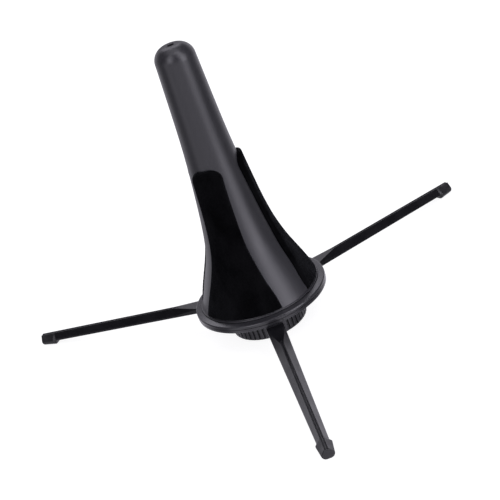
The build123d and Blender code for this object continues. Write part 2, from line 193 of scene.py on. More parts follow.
def make_piece(name, vertices, faces, material, body, nodes, sharp=40):
    """Mesh object from vertices in millimetres that rides on a body and stands for CAD nodes."""
    mesh = bpy.data.meshes.new(name)
    mesh.from_pydata((np.asarray(vertices, float) * MM).tolist(), [], [tuple(map(int, f)) for f in faces])
    bm = bmesh.new()
    bm.from_mesh(mesh)
    bmesh.ops.remove_doubles(bm, verts=bm.verts, dist=1e-7)
    bmesh.ops.recalc_face_normals(bm, faces=bm.faces)
    bm.to_mesh(mesh)
    bm.free()
    mesh.shade_smooth()
    mesh.set_sharp_from_angle(angle=math.radians(sharp))
    piece = bpy.data.objects.new(name, mesh)
    bpy.context.scene.collection.objects.link(piece)
    mesh.materials.append(material)
    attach(piece, body)
    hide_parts(*nodes)
    return piece


# Materials ---------------------------------------------------------------------------------


class Shader:
    """A node material under construction, with short ways to add and join nodes."""

    def __init__(self, name):
        self.material = bpy.data.materials.new(name)
        self.material.use_nodes = True
        self.tree = self.material.node_tree
        self.tree.nodes.clear()
        self.output = self.tree.nodes.new("ShaderNodeOutputMaterial")
        self.surface = self.tree.nodes.new("ShaderNodeBsdfPrincipled")
        self.join(self.surface, "BSDF", self.output, "Surface")
        self.place = self.tree.nodes.new("ShaderNodeTexCoord")

    def join(self, source, output, target, socket):
        self.tree.links.new(source.outputs[output], target.inputs[socket])

    def set(self, **values):
        for key, value in values.items():
            self.surface.inputs[key.replace("_", " ")].default_value = value

    def noise(self, scale, detail=2.0, roughness=0.5, stretch=(1, 1, 1)):
        """Noise value over the object, scale in features per metre."""
        mapping = self.tree.nodes.new("ShaderNodeMapping")
        mapping.inputs["Scale"].default_value = stretch
        self.join(self.place, "Object", mapping, "Vector")
        node = self.tree.nodes.new("ShaderNodeTexNoise")
        node.inputs["Scale"].default_value = scale
        node.inputs["Detail"].default_value = detail
        node.inputs["Roughness"].default_value = roughness
        self.join(mapping, "Vector", node, "Vector")
        return node, "Fac"

    def cells(self, scale, stretch=(1, 1, 1)):
        """Distance to scattered points over the object, scale in points per metre."""
        mapping = self.tree.nodes.new("ShaderNodeMapping")
        mapping.inputs["Scale"].default_value = stretch
        self.join(self.place, "Object", mapping, "Vector")
        node = self.tree.nodes.new("ShaderNodeTexVoronoi")
        node.inputs["Scale"].default_value = scale
        self.join(mapping, "Vector", node, "Vector")
        return node, "Distance"

    def ramp(self, source, low, high, to_low, to_high):
        """The source's low..high range spread over to_low..to_high."""
        node = self.tree.nodes.new("ShaderNodeMapRange")
        node.interpolation_type = "SMOOTHSTEP"
        limits = {"From Min": low, "From Max": high, "To Min": to_low, "To Max": to_high}
        for socket, value in limits.items():
            node.inputs[socket].default_value = value
        self.join(source[0], source[1], node, "Value")
        return node, "Result"

    def combine(self, operation, first, second):
        """Two values put together by a math operation; the second may be a number."""
        node = self.tree.nodes.new("ShaderNodeMath")
        node.operation = operation
        self.join(first[0], first[1], node, 0)
        if isinstance(second, tuple):
            self.join(second[0], second[1], node, 1)
        else:
            node.inputs[1].default_value = second
        return node, "Value"

    def colour(self, factor, dark, light):
        """Colour between dark and light by a factor from 0 to 1."""
        node = self.tree.nodes.new("ShaderNodeMix")
        node.data_type = "RGBA"
        node.inputs[6].default_value = (*dark, 1)
        node.inputs[7].default_value = (*light, 1)
        self.join(factor[0], factor[1], node, 0)
        return node, 2

    def wear(self, distance, low, high):
        """0 to 1 on convex edges, from the difference between rounded and true normals."""
        bevel = self.tree.nodes.new("ShaderNodeBevel")
        bevel.samples = 4
        bevel.inputs["Radius"].default_value = distance
        geometry = self.tree.nodes.new("ShaderNodeNewGeometry")
        dot = self.tree.nodes.new("ShaderNodeVectorMath")
        dot.operation = "DOT_PRODUCT"
        self.join(bevel, "Normal", dot, 0)
        self.join(geometry, "Normal", dot, 1)
        return self.ramp((dot, "Value"), low, high, 1.0, 0.0)

    def crevice_shade(self, distance, closed, low=0.35, high=0.9):
        """Painted shade from ambient occlusion: from closed in deep grooves up to 1 on open surfaces,
        looking a distance round about.
        """
        node = self.tree.nodes.new("ShaderNodeAmbientOcclusion")
        node.samples = 6
        node.inputs["Distance"].default_value = distance
        return self.ramp((node, "AO"), low, high, closed, 1.0)

    def facing(self, edge, start=0.72, end=0.98):
        """From 1 on surfaces that face the viewer to a given value on their outlines."""
        node = self.tree.nodes.new("ShaderNodeLayerWeight")
        node.inputs["Blend"].default_value = 0.5
        return self.ramp((node, "Facing"), start, end, 1.0, edge)

    def dimmed(self, colour, factor):
        """A colour darkened towards black by a factor from 0 to 1."""
        node = self.tree.nodes.new("ShaderNodeMix")
        node.data_type = "RGBA"
        node.inputs[6].default_value = (0, 0, 0, 1)
        self.join(colour[0], colour[1], node, 7)
        self.join(factor[0], factor[1], node, 0)
        return node, 2

    def bump(self, height, distance, strength, edge=0.0):
        """Surface relief from a height value; edge also softens the edges' shading."""
        node = self.tree.nodes.new("ShaderNodeBump")
        node.inputs["Distance"].default_value = distance
        node.inputs["Strength"].default_value = strength
        self.join(height[0], height[1], node, "Height")
        if edge:
            bevel = self.tree.nodes.new("ShaderNodeBevel")
            bevel.samples = 6
            bevel.inputs["Radius"].default_value = edge
            self.join(bevel, "Normal", node, "Normal")
        self.join(node, "Normal", self.surface, "Normal")

    def feed(self, source, socket):
        self.join(source[0], source[1], self.surface, socket)


def moulded_plastic(name, dark, light, roughness, grain, edge=0.0, shade_reach=0.0, outline=0.12):
    """Black moulded plastic: fine spark-eroded grain, faint flow marks, and painted shade that darkens its
    crevices.
    """
    s = Shader(name)
    flow = s.noise(55, 3, 0.55, (1, 1, 0.35))
    speckle = s.noise(grain, 2, 0.6)
    rubs = s.ramp(s.noise(140, 4, 0.6, (1, 1, 0.3)), 0.55, 0.75, 0, 1)
    mottle = s.combine("ADD", s.combine("MULTIPLY", flow, 0.7), s.combine("MULTIPLY", speckle, 0.3))
    colour = s.colour(mottle, dark, light)
    gloss = s.combine("MULTIPLY", s.facing(outline, 0.55, 0.93), 0.5)
    # Painted shade: ambient occlusion darkens the colour and the gloss in crevices and grooves.
    if shade_reach:
        painted_shade_factor = s.crevice_shade(shade_reach, 0.0, 0.42, 0.9)
        colour = s.dimmed(colour, painted_shade_factor)
        gloss = s.combine("MULTIPLY", gloss, painted_shade_factor)
    s.feed(gloss, "Specular IOR Level")
    s.feed(colour, "Base Color")
    matt = s.ramp(flow, 0.3, 0.7, roughness - 0.03, roughness + 0.04)
    s.feed(s.combine("ADD", matt, s.combine("MULTIPLY", rubs, -0.04)), "Roughness")
    s.bump(speckle, 0.00003, 0.35, edge)
    return s.material


def velvet():
    """Short-pile black velvet: no gloss, a soft grazing sheen, and nap that leans in patches."""
    s = Shader("black_velvet")
    nap = s.noise(70, 3, 0.6, (1, 1, 0.6))
    tufts = s.noise(2600, 2, 0.7)
    fibres = s.cells(4200, (1, 1, 0.55))
    lean = s.combine("ADD", s.combine("MULTIPLY", nap, 0.6), s.combine("MULTIPLY", tufts, 0.4))
    dark, light = (0.0018, 0.0018, 0.0021), (0.0062, 0.0062, 0.0068)
    s.feed(s.colour(s.ramp(lean, 0.35, 0.68, 0, 1), dark, light), "Base Color")
    s.feed(s.ramp(lean, 0.35, 0.7, 0.03, 0.14), "Sheen Weight")
    s.set(Roughness=1.0, Specular_IOR_Level=0.0, Sheen_Roughness=0.35, Sheen_Tint=(0.75, 0.78, 0.85, 1))
    s.bump(s.combine("ADD", tufts, s.combine("MULTIPLY", fibres, -0.6)), 0.00025, 0.8)
    return s.material


def coated_steel():
    """Black powder coat over pressed steel: fine orange peel and slightly rubbed edges."""
    s = Shader("powder_coat")
    peel = s.cells(1500)
    tone = s.noise(90, 3, 0.6, (1, 1, 1))
    worn = s.wear(0.0003, 0.90, 0.995)
    base = s.colour(tone, (0.0035, 0.0035, 0.0045), (0.0060, 0.0060, 0.0075))
    mix = s.tree.nodes.new("ShaderNodeMix")
    mix.data_type = "RGBA"
    mix.inputs[7].default_value = (0.03, 0.03, 0.034, 1)
    s.join(base[0], base[1], mix, 6)
    share = s.combine("MULTIPLY", worn, s.ramp(tone, 0.4, 0.65, 0.1, 0.6))
    s.join(share[0], share[1], mix, 0)
    s.feed((mix, 2), "Base Color")
    s.feed(s.ramp(tone, 0.3, 0.7, 0.30, 0.38), "Roughness")
    gloss = s.combine("MULTIPLY", s.facing(0.3), s.facing(2.6, 0.25, 0.6))
    s.feed(s.combine("MULTIPLY", gloss, 0.2), "Specular IOR Level")
    s.bump(peel, 0.00003, 0.25)
    return s.material


def rubber():
    """Moulded black rubber: matt, faintly dusty, with a fine grain."""
    s = Shader("foot_moulding")
    dust = s.noise(260, 4, 0.65)
    grain = s.noise(5200, 2, 0.6)
    dark, light = (0.006, 0.006, 0.007), (0.014, 0.014, 0.015)
    s.feed(s.colour(s.ramp(dust, 0.45, 0.75, 0, 1), dark, light), "Base Color")
    s.feed(s.ramp(dust, 0.3, 0.7, 0.38, 0.5), "Roughness")
    s.feed(s.combine("MULTIPLY", s.facing(0.3), 0.5), "Specular IOR Level")
    s.bump(grain, 0.00003, 0.4)
    return s.material


def zinc():
    """Zinc-plated steel: bright grain drawn round the part, with a faint blue-yellow cast."""
    s = Shader("zinc_plate")
    drawn = s.noise(900, 3, 0.6, (1, 1, 9))
    cast = s.noise(160, 2, 0.5)
    s.feed(s.colour(cast, (0.46, 0.47, 0.50), (0.60, 0.58, 0.52)), "Base Color")
    s.feed(s.ramp(drawn, 0.3, 0.7, 0.22, 0.38), "Roughness")
    s.set(Metallic=1.0)
    s.bump(drawn, 0.00002, 0.3, 0.00015)
    return s.material


def nylon():
    """Natural nylon: milky, slightly translucent, with a fine turned grain."""
    s = Shader("natural_nylon")
    cloud = s.noise(300, 3, 0.5)
    s.feed(s.colour(cloud, (0.60, 0.58, 0.50), (0.74, 0.73, 0.67)), "Base Color")
    s.feed(s.ramp(cloud, 0.3, 0.7, 0.42, 0.55), "Roughness")
    s.set(Subsurface_Weight=0.2, Subsurface_Scale=0.001)
    s.bump(s.noise(4000, 2, 0.5), 0.00002, 0.3)
    return s.material


shell_plastic = moulded_plastic(
    "shell_moulding", (0.016, 0.0157, 0.0180), (0.025, 0.0246, 0.0282), 0.36, 5200
)
# Base, hub and knob get painted shade in their crevices and grooves, from ambient occlusion.
base_plastic = moulded_plastic(
    "base_moulding", (0.0200, 0.0197, 0.0225), (0.0300, 0.0297, 0.0330), 0.24, 5200, 0.00010, 0.0009, 0.35
)
hub_plastic = moulded_plastic(
    "hub_moulding", (0.014, 0.014, 0.016), (0.021, 0.021, 0.023), 0.50, 4200, 0.0002, 0.0012
)
knob_plastic = moulded_plastic(
    "knob_moulding", (0.013, 0.013, 0.015), (0.020, 0.020, 0.023), 0.42, 4600, 0.0, 0.0010
)
velvet_fabric = velvet()
leg_paint = coated_steel()
foot_rubber = rubber()
zinc_steel = zinc()
washer_nylon = nylon()

NODE_FINISH = {
    "base_flange": (base_plastic, "base_plastic"),
    "leg_seat_ring": (base_plastic, "base_plastic"),
    "flange_screws": (zinc_steel, "zinc_steel"),
    "leg_hub": (hub_plastic, "hub_plastic"),
    "hub_cap": (hub_plastic, "hub_plastic"),
    "hub_screw": (zinc_steel, "zinc_steel"),
    "knob_screw": (zinc_steel, "zinc_steel"),
    "thrust_washer": (washer_nylon, "washer_nylon"),
    "hinge_pin_front": (zinc_steel, "zinc_steel"),
    "hinge_pin_right": (zinc_steel, "zinc_steel"),
    "hinge_pin_left": (zinc_steel, "zinc_steel"),
}
for node_name, (material, slot_name) in NODE_FINISH.items():
    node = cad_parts[node_name]
    node.data.materials.clear()
    node.data.materials.append(material)


# Peg shell ----------------------------------------------------------------------------------


def make_shell():
    """Hollow peg: a dome with a vent on a flared wall, and a lip where it meets the flange."""
    outside = curve_through(SHELL_OUTSIDE, 1.0) + [0, FLANGE_TOP]
    inside = curve_through([(r - SHELL_WALL, z) for r, z in SHELL_OUTSIDE], 2.0) + [0, FLANGE_TOP]
    lip_top = FLANGE_TOP + LIP_HEIGHT
    corners = (
        [(VENT_RADIUS, STAND_HEIGHT, 0.35), (DOME_CORNER_RADIUS, STAND_HEIGHT, DOME_ROUND)]
        + [(r, z, 0) for r, z in outside[::-1]]
        + [(LIP_RADIUS, lip_top, 0.3), (LIP_RADIUS, FLANGE_TOP, 0.15)]
        + [(inside[0][0], FLANGE_TOP, 0)]
        + [(r, z, 0) for r, z in inside]
        + [(DOME_CORNER_RADIUS - SHELL_WALL, STAND_HEIGHT - DOME_WALL, DOME_ROUND - SHELL_WALL)]
        + [(VENT_RADIUS, STAND_HEIGHT - DOME_WALL, 0.2)]
    )
    vertices, faces = turned(rounded(corners, 24), 240)
    make_piece("shell", vertices, faces, shell_plastic, "peg", ["peg_shell"])


make_shell()


# Velvet pads ----------------------------------------------------------------------------------


def spread(length, fine, step):
    """Offsets from 0 to length, close together near both ends and about a step apart between."""
    edge = np.array([0, 0.04, 0.12, 0.24, 0.4, 0.6, 0.82]) * fine
    middle = np.linspace(fine, length - fine, max(2, int((length - 2 * fine) / step)))
    return np.concatenate([edge, middle, length - edge[::-1]])


def make_pad(side, azimuth, seed):
    """Padded velvet panel on the shell: crowned, rolled over at its edges, with an uneven nap."""
    face_curve = curve_through(PAD_OUTSIDE, 0.5)
    back_curve = curve_through([(r + PAD_GAP, z) for r, z in SHELL_OUTSIDE], 0.5)
    width_curve = curve_through(PAD_HALF_WIDTHS, 0.5)
    heights = PAD_BOTTOM + spread(PAD_TOP - PAD_BOTTOM, PAD_ROLL, 0.42)
    shares = spread(2.0, 0.085, 0.021) - 1.0
    rng = np.random.default_rng(seed)
    outer, inner = [], []
    for height in heights:
        full = value_at(width_curve, height)
        over = max(0.0, height - (PAD_TOP - PAD_CORNER))
        half = full - PAD_CORNER + math.sqrt(max(0.0, PAD_CORNER**2 - over**2))
        back_radius, face_radius = value_at(back_curve, height), value_at(face_curve, height)
        for across in shares:
            x = across * half
            inside = min(full - abs(x), PAD_TOP - height, height - PAD_BOTTOM)
            if over > 0 and abs(x) > full - PAD_CORNER:
                inside = PAD_CORNER - math.hypot(abs(x) - full + PAD_CORNER, over)
            rolled = 1 - min(1.0, max(0.0, inside) / PAD_ROLL)
            thickness = (face_radius - back_radius) * math.sqrt(max(0.0, 1 - rolled**2))
            if 0 < inside:
                place = Vector((x * 0.11, height * 0.08, seed))
                thickness += PAD_UNEVENNESS * noise.noise(place) * min(1.0, inside / 3)
                thickness += rng.normal(0, PAD_FUZZ) * min(1.0, inside / 0.5)
            radius = back_radius + max(0.0, thickness)
            for r, points in ((radius, outer), (back_radius, inner)):
                turn = math.radians(azimuth) + math.asin(min(1.0, x / r))
                points.append((r * math.cos(turn), r * math.sin(turn), height + FLANGE_TOP))
    rows, cols = len(heights), len(shares)
    faces = []
    start = len(outer)
    for i in range(rows - 1):
        for j in range(cols - 1):
            a, b, c, d = i * cols + j, i * cols + j + 1, (i + 1) * cols + j + 1, (i + 1) * cols + j
            faces += [(a, b, c, d), (start + d, start + c, start + b, start + a)]
    rim = (
        list(range(cols))
        + [i * cols + cols - 1 for i in range(1, rows)]
        + [(rows - 1) * cols + j for j in range(cols - 2, -1, -1)]
        + [i * cols for i in range(rows - 2, 0, -1)]
    )
    for k, a in enumerate(rim):
        b = rim[(k + 1) % len(rim)]
        faces.append((b, a, start + a, start + b))
    nodes = ["velvet_pad_" + side]
    make_piece("velvet_" + side, outer + inner, faces, velvet_fabric, "peg", nodes, 180)


for index, (side, azimuth) in enumerate(PAD_AZIMUTHS.items()):
    make_pad(side, azimuth, index + 3)


# Clamp knob -------------------------------------------------------------------------------------


def knob_plan():
    """Angles and outer radii once round the knob's ribbed grip."""
    pitch = 2 * math.pi * KNOB_RADIUS / RIB_COUNT
    gap_edge = (pitch - RIB_GAP_WIDTH) / 2
    side = [
        (0.10, RIB_GAP_DEPTH), (0.03, RIB_GAP_DEPTH - 0.08), (-0.02, 0.22), (-0.10, 0.08), (-0.24, 0.02),
    ]
    rib = [(-pitch / 2, RIB_GAP_DEPTH)]
    rib += [(-gap_edge - beyond, depth) for beyond, depth in side]
    rib += [(-0.4, 0.0), (0.0, 0.0), (0.4, 0.0)]
    rib += [(gap_edge + beyond, depth) for beyond, depth in side[::-1]]
    points = [(i * pitch + along, depth) for i in range(RIB_COUNT) for along, depth in rib]
    along, depth = np.array(points).T
    return along / KNOB_RADIUS, KNOB_RADIUS - depth


def make_knob():
    """Ribbed cup with a screw boss inside, and a dished face with a screw recess below."""
    angles, grip = knob_plan()
    floor_top = KNOB_BOTTOM + KNOB_FLOOR
    dish, recess = KNOB_BOTTOM + KNOB_DISH_DEPTH, KNOB_BOTTOM + KNOB_RECESS_DEPTH
    corners = [
        (KNOB_SCREW_BORE, recess, 0), (KNOB_SCREW_BORE, KNOB_BOSS_TOP, 0.2),
        (KNOB_BOSS_RADIUS, KNOB_BOSS_TOP, 0.3), (KNOB_BOSS_RADIUS, floor_top, 0.4),
        (KNOB_BORE, floor_top, 0.8), (KNOB_BORE, KNOB_TOP, 0.3), (KNOB_RIM_RADIUS, KNOB_TOP, 0),
        (KNOB_RADIUS, KNOB_TOP, 0.45), (KNOB_RADIUS, KNOB_BOTTOM, 1.0),
        (KNOB_DISH_OUTER[1], KNOB_BOTTOM, 0), (KNOB_DISH_OUTER[0], dish, 0.3),
        (KNOB_DISH_INNER[1], dish, 0.2), (KNOB_DISH_INNER[0], KNOB_BOTTOM, 0),
        (KNOB_RECESS_RADIUS, KNOB_BOTTOM, 0.2), (KNOB_RECESS_RADIUS, recess, 0.1),
    ]
    rings = []
    for r, z in rounded(corners, 6):
        radii = np.minimum(r, grip)
        level = np.full(len(radii), z)
        rings.append(np.stack([radii * np.cos(angles), radii * np.sin(angles), level], axis=1))
    vertices, faces = np.concatenate(rings), ring_grid(rings)
    make_piece("ribbed_knob", vertices, faces, knob_plastic, "knob", ["clamp_knob"])


make_knob()


# Legs and feet --------------------------------------------------------------------------------

leg_slope = math.atan2(PIVOT_HEIGHT - LEG_TIP_HEIGHT, LEG_REACH - PIVOT_CIRCLE)
leg_length = math.hypot(LEG_REACH - PIVOT_CIRCLE, PIVOT_HEIGHT - LEG_TIP_HEIGHT)
foot_start = leg_length - FOOT_LENGTH


def smooth(low, high, value):
    """0 before low and 1 after high, with a soft rise between; low may be the larger."""
    t = min(1.0, max(0.0, (value - low) / (high - low)))
    return t * t * (3 - 2 * t)


def half_width(s):
    """Half of the leg's width at a distance from its hinge."""
    share = s / leg_length
    return (LEG_ROOT_WIDTH * (1 - share) + LEG_TIP_WIDTH * share) / 2


def groove_half(s):
    """Half of the groove's width, which grows towards the foot."""
    return GROOVE_HALF_WIDTH + GROOVE_WIDENING * smooth(GROOVE_START, leg_length, s)


def facet_share(s):
    """How far the facets have grown in from the edges, from 0 at the flat root to 1."""
    return min(1.0, max(0.0, (s - FACET_START) / (FACET_FULL - FACET_START)))


def crease(s, width):
    """Where the flat root gives way to a facet: from the leg's edge in to the groove."""
    ridge = groove_half(s) + RIDGE_WIDTH
    return ridge + (1 - facet_share(s)) * (width - ridge)


def facet_slope(s, width, drop=FACET_DROP):
    """Fall of a facet for each millimetre across it."""
    if s <= FACET_START:
        return 0.0
    return (RIDGE_RISE + drop) / (width - groove_half(s) - RIDGE_WIDTH)


def top_height(s, y, width, drop=FACET_DROP):
    """Height of the upper face: a flat root that narrows and climbs between facets to a groove."""
    height = HALF_THICK + RIDGE_RISE * facet_share(s)
    height -= facet_slope(s, width, drop) * max(0.0, abs(y) - crease(s, width))
    start = GROOVE_START + groove_half(s)
    across = abs(y) if s > start else math.hypot(y, start - s)
    wall = smooth(groove_half(s) + GROOVE_EDGE, groove_half(s) - GROOVE_EDGE, across)
    crown = GROOVE_CROWN * smooth(GROOVE_START + 5, GROOVE_START + 50, s)
    crown *= max(0.0, 1 - (y / groove_half(s)) ** 2)
    depth = GROOVE_DEPTH * (1 - 0.45 * smooth(GROOVE_START + 30, GROOVE_START, s))
    return height - (depth - crown) * wall


def upper_half(s, width, edge, drop=FACET_DROP):
    """Upper outline from the middle of the leg, over groove, flat and facet, round the outer edge."""
    g = groove_half(s)
    fold = crease(s, width)
    slope = facet_slope(s, width, drop)
    tilt = math.atan(slope)
    last = width - edge + edge * math.sin(tilt)
    marks = [0.0, g * 0.3, g * 0.6, g - GROOVE_EDGE, g - 0.05, g + 0.05, g + GROOVE_EDGE]
    marks += list(np.linspace(g + 0.26, min(fold, last - 0.1), 4))
    marks += list(np.linspace(min(fold, last - 0.1), last, 5)[1:])
    half = [(y, top_height(s, y, width, drop)) for y in marks]
    centre = half[-1][1] - edge * math.cos(tilt)
    for k in range(1, 5):
        a = tilt + (math.pi / 2 - tilt) * k / 4
        half.append((width - edge + edge * math.sin(a), centre + edge * math.cos(a)))
    return half


def leg_ring(s, width, lift, bottom, edge, hollow):
    """Closed ring of (across, up) points round the leg at a distance from its hinge."""
    half = [(y, z + lift) for y, z in upper_half(s, width, edge)]
    half.append((width, (half[-1][1] - bottom + edge) / 2))
    for k in range(5):
        a = math.radians(22.5 * k)
        half.append((width - edge + edge * math.cos(a), -bottom + edge - edge * math.sin(a)))
    inset = width - LEG_WALL
    half += [
        (inset + 0.12, -bottom),
        (inset, -bottom + 0.12 * hollow),
        (inset - 0.08, -bottom + 0.9 * hollow),
        (inset - 0.25, -bottom + hollow),
        (inset * 0.5, -bottom + hollow),
        (0.0, -bottom + hollow),
    ]
    left = [(-y, z) for y, z in half[-2:0:-1]]
    return half + left


def capped(rings):
    """Faces that join open-ended rings in order and close both ends with fans to a centre point."""
    size = len(rings[0])
    faces = ring_grid(rings)[: (len(rings) - 1) * size]
    first, last = len(rings) * size, len(rings) * size + 1
    for k in range(size):
        m = (k + 1) % size
        faces.append((first, m, k))
        faces.append((last, (len(rings) - 1) * size + k, (len(rings) - 1) * size + m))
    centres = [np.mean(rings[0], axis=0), np.mean(rings[-1], axis=0)]
    return np.concatenate([np.concatenate(rings), centres]), faces


def leg_matrix(azimuth):
    """From the leg's own frame (along, across, up) to the stand's frame, in millimetres."""
    a = math.radians(azimuth)
    outward, across = Vector((math.cos(a), math.sin(a), 0)), Vector((-math.sin(a), math.cos(a), 0))
    along = outward * math.cos(leg_slope) - Vector((0, 0, math.sin(leg_slope)))
    up = along.cross(across)
    hinge = outward * PIVOT_CIRCLE + Vector((0, 0, PIVOT_HEIGHT))
    m = Matrix.Identity(4)
    for i, column in enumerate((along, across, up, hinge)):
        m.col[i][:3] = column
    return np.array(m)


def placed(points, matrix):
    """Points given in the leg's own frame, in the stand's frame."""
    return np.asarray(points) @ matrix[:3, :3].T + matrix[:3, 3]


def cut(piece, cutter):
    """Takes the cutter's space out of the piece and removes the cutter."""
    modifier = piece.modifiers.new("cut", "BOOLEAN")
    modifier.operation = "DIFFERENCE"
    modifier.solver = "EXACT"
    modifier.object = cutter
    bpy.context.view_layer.update()
    evaluated = piece.evaluated_get(bpy.context.evaluated_depsgraph_get())
    mesh = bpy.data.meshes.new_from_object(evaluated)
    piece.modifiers.clear()
    piece.data = mesh
    bpy.data.objects.remove(cutter)


def leg_stations():
    """Distances from the hinge where the leg's ring is drawn, close together at eye and groove end."""
    eye = [-EYE_RADIUS * math.cos(math.radians(a)) for a in range(3, 91, 6)]
    spans = [
        (0.2, EYE_RADIUS, 9), (3.5, GROOVE_START - 0.5, 28),
        (GROOVE_START - 0.3, GROOVE_START + 1.2, 16), (GROOVE_START + 1.8, foot_start - 0.02, 60),
    ]
    stations = eye + [s for start, end, count in spans for s in np.linspace(start, end, count)]
    return [round(float(s), 4) for s in stations]


def make_leg(side, azimuth):
    """Pressed strip with a round eye at its hinge, hollow below, and a bore for the pin."""
    matrix = leg_matrix(azimuth)
    hollow_end = foot_start - LEG_HOLLOW_END
    rings = []
    for s in leg_stations():
        width = half_width(max(0.0, s))
        eye = math.sqrt(max(0.0, EYE_RADIUS**2 - s**2)) if abs(s) < EYE_RADIUS else 0.0
        lift = max(0.0, eye - HALF_THICK) if s > 0 else eye - HALF_THICK
        bottom = max(HALF_THICK, eye) if s > 0 else eye
        hollow = smooth(FACET_START, FACET_START + LEG_HOLLOW_RUN, s)
        hollow *= smooth(hollow_end, hollow_end - LEG_HOLLOW_RUN, s)
        edge = min(LEG_EDGE_ROUND, 0.4 * (bottom + top_height(s, width, width) + lift))
        ring = leg_ring(s, width, lift, bottom, max(0.05, edge), hollow)
        rings.append(placed([(s, y, z) for y, z in ring], matrix))
    vertices, faces = capped(rings)
    body, nodes = side + "_leg", ["leg_" + side]
    leg = make_piece("strip_" + side, vertices, faces, leg_paint, body, nodes, 30)
    angles = np.linspace(0, 2 * math.pi, 48, endpoint=False)
    bore = [
        placed([(PIN_BORE_RADIUS * math.cos(a), y, PIN_BORE_RADIUS * math.sin(a)) for a in angles], matrix)
        for y in (-LEG_ROOT_WIDTH, LEG_ROOT_WIDTH)
    ]
    vertices, faces = capped(bore)
    mesh = bpy.data.meshes.new("bore")
    mesh.from_pydata((vertices * MM).tolist(), [], faces)
    cutter = bpy.data.objects.new("bore", mesh)
    bpy.context.scene.collection.objects.link(cutter)
    cut(leg, cutter)
    leg.data.set_sharp_from_angle(angle=math.radians(30))


def foot_ring(s, width, drop, depth, scale):
    """Ring round the foot: the leg's faceted top and groove over round cheeks and a flat sole."""
    half = upper_half(s, width, FOOT_EDGE_ROUND, drop)
    side_top = half[-1][1] - 0.03
    for k in range(9):
        a = math.radians(11.25 * k)
        across = SOLE_HALF_WIDTH + (width - SOLE_HALF_WIDTH) * math.cos(a)
        half.append((across, side_top - (depth + side_top) * math.sin(a)))
    half += [(SOLE_HALF_WIDTH * 0.5, -depth), (0.0, -depth)]
    middle = (HALF_THICK + RIDGE_RISE - depth) / 2
    ring = half + [(-y, z) for y, z in half[-2:0:-1]]
    return [(y * scale, middle + (z - middle) * scale) for y, z in ring]


def make_foot(side, azimuth):
    """Moulded shoe on the leg's end: flares out from the leg, then narrows over a flat sole."""
    matrix = leg_matrix(azimuth)
    tip_depth = LEG_TIP_HEIGHT / math.cos(leg_slope)
    leg_half = half_width(foot_start)
    heel = foot_start + FOOT_HEEL
    end = leg_length - FOOT_END_ROUND
    rings = []
    stations = list(np.linspace(foot_start, heel, 7)) + list(np.linspace(heel + 0.6, end, 12))
    stations += [end + FOOT_END_ROUND * math.sin(math.radians(a)) for a in range(15, 91, 15)]
    for s in stations:
        rise = smooth(foot_start, heel - 0.3, s)
        fall = min(1.0, max(0.0, (s - heel) / (leg_length - heel)))
        width = leg_half + FOOT_MARGIN + (FOOT_FLARE - FOOT_MARGIN) * (rise - fall)
        drop = FACET_DROP + (FOOT_FACET_DROP - FACET_DROP) * rise
        level = tip_depth + (leg_length - max(s, heel)) * math.tan(leg_slope)
        depth = level * rise + (HALF_THICK + 0.2) * (1 - rise)
        into = max(0.0, s - end)
        rounding = FOOT_END_ROUND - math.sqrt(max(0.0, FOOT_END_ROUND**2 - into**2))
        scale = 1 - rounding / FOOT_END_HALF_WIDTH
        rings.append(placed([(s, y, z) for y, z in foot_ring(s, width, drop, depth, scale)], matrix))
    vertices, faces = capped(rings)
    body, nodes = side + "_leg", ["foot_" + side]
    make_piece("sole_" + side, vertices, faces, foot_rubber, body, nodes, 38)


for side, azimuth in LEG_AZIMUTHS.items():
    make_leg(side, azimuth)
    make_foot(side, azimuth)


# Floor, light and camera ------------------------------------------------------------------------


FLOOR_HALF_SIZE = 6.0
FLOOR_TINT = (0.28, 0.31)
FLOOR_GLOW = 0.88
FLOOR_BOUNCE = (0.45, 0.45, 0.46)


def make_floor():
    """Floor that is white to the camera, grey in its bounced light, and clear in gloss and from below."""
    mesh = bpy.data.meshes.new("floor")
    side = FLOOR_HALF_SIZE
    corners = [(-side, -side, 0), (side, -side, 0), (side, side, 0), (-side, side, 0)]
    mesh.from_pydata(corners, [], [(0, 1, 2, 3)])
    floor = bpy.data.objects.new("floor", mesh)
    bpy.context.scene.collection.objects.link(floor)
    material = bpy.data.materials.new("floor_paper")
    material.use_nodes = True
    tree = material.node_tree
    tree.nodes.clear()
    output = tree.nodes.new("ShaderNodeOutputMaterial")
    path = tree.nodes.new("ShaderNodeLightPath")
    geometry = tree.nodes.new("ShaderNodeNewGeometry")
    grain = tree.nodes.new("ShaderNodeTexNoise")
    grain.inputs["Scale"].default_value = 60
    tint = tree.nodes.new("ShaderNodeMapRange")
    tint.inputs["To Min"].default_value, tint.inputs["To Max"].default_value = FLOOR_TINT
    paper = tree.nodes.new("ShaderNodeBsdfDiffuse")
    glow = tree.nodes.new("ShaderNodeEmission")
    glow.inputs["Strength"].default_value = FLOOR_GLOW
    seen = tree.nodes.new("ShaderNodeAddShader")
    bounce = tree.nodes.new("ShaderNodeBsdfDiffuse")
    bounce.inputs["Color"].default_value = (*FLOOR_BOUNCE, 1)
    kind = tree.nodes.new("ShaderNodeMixShader")
    clear = tree.nodes.new("ShaderNodeBsdfTransparent")
    front = tree.nodes.new("ShaderNodeMixShader")
    link = tree.links.new
    link(grain.outputs["Fac"], tint.inputs["Value"])
    link(tint.outputs["Result"], paper.inputs["Color"])
    link(paper.outputs["BSDF"], seen.inputs[0])
    link(glow.outputs["Emission"], seen.inputs[1])
    link(path.outputs["Is Camera Ray"], kind.inputs["Fac"])
    link(bounce.outputs["BSDF"], kind.inputs[1])
    link(seen.outputs["Shader"], kind.inputs[2])
    link(geometry.outputs["Backfacing"], front.inputs["Fac"])
    link(kind.outputs["Shader"], front.inputs[1])
    link(clear.outputs["BSDF"], front.inputs[2])
    link(front.outputs["Shader"], output.inputs["Surface"])
    mesh.materials.append(material)
    floor.visible_glossy = False


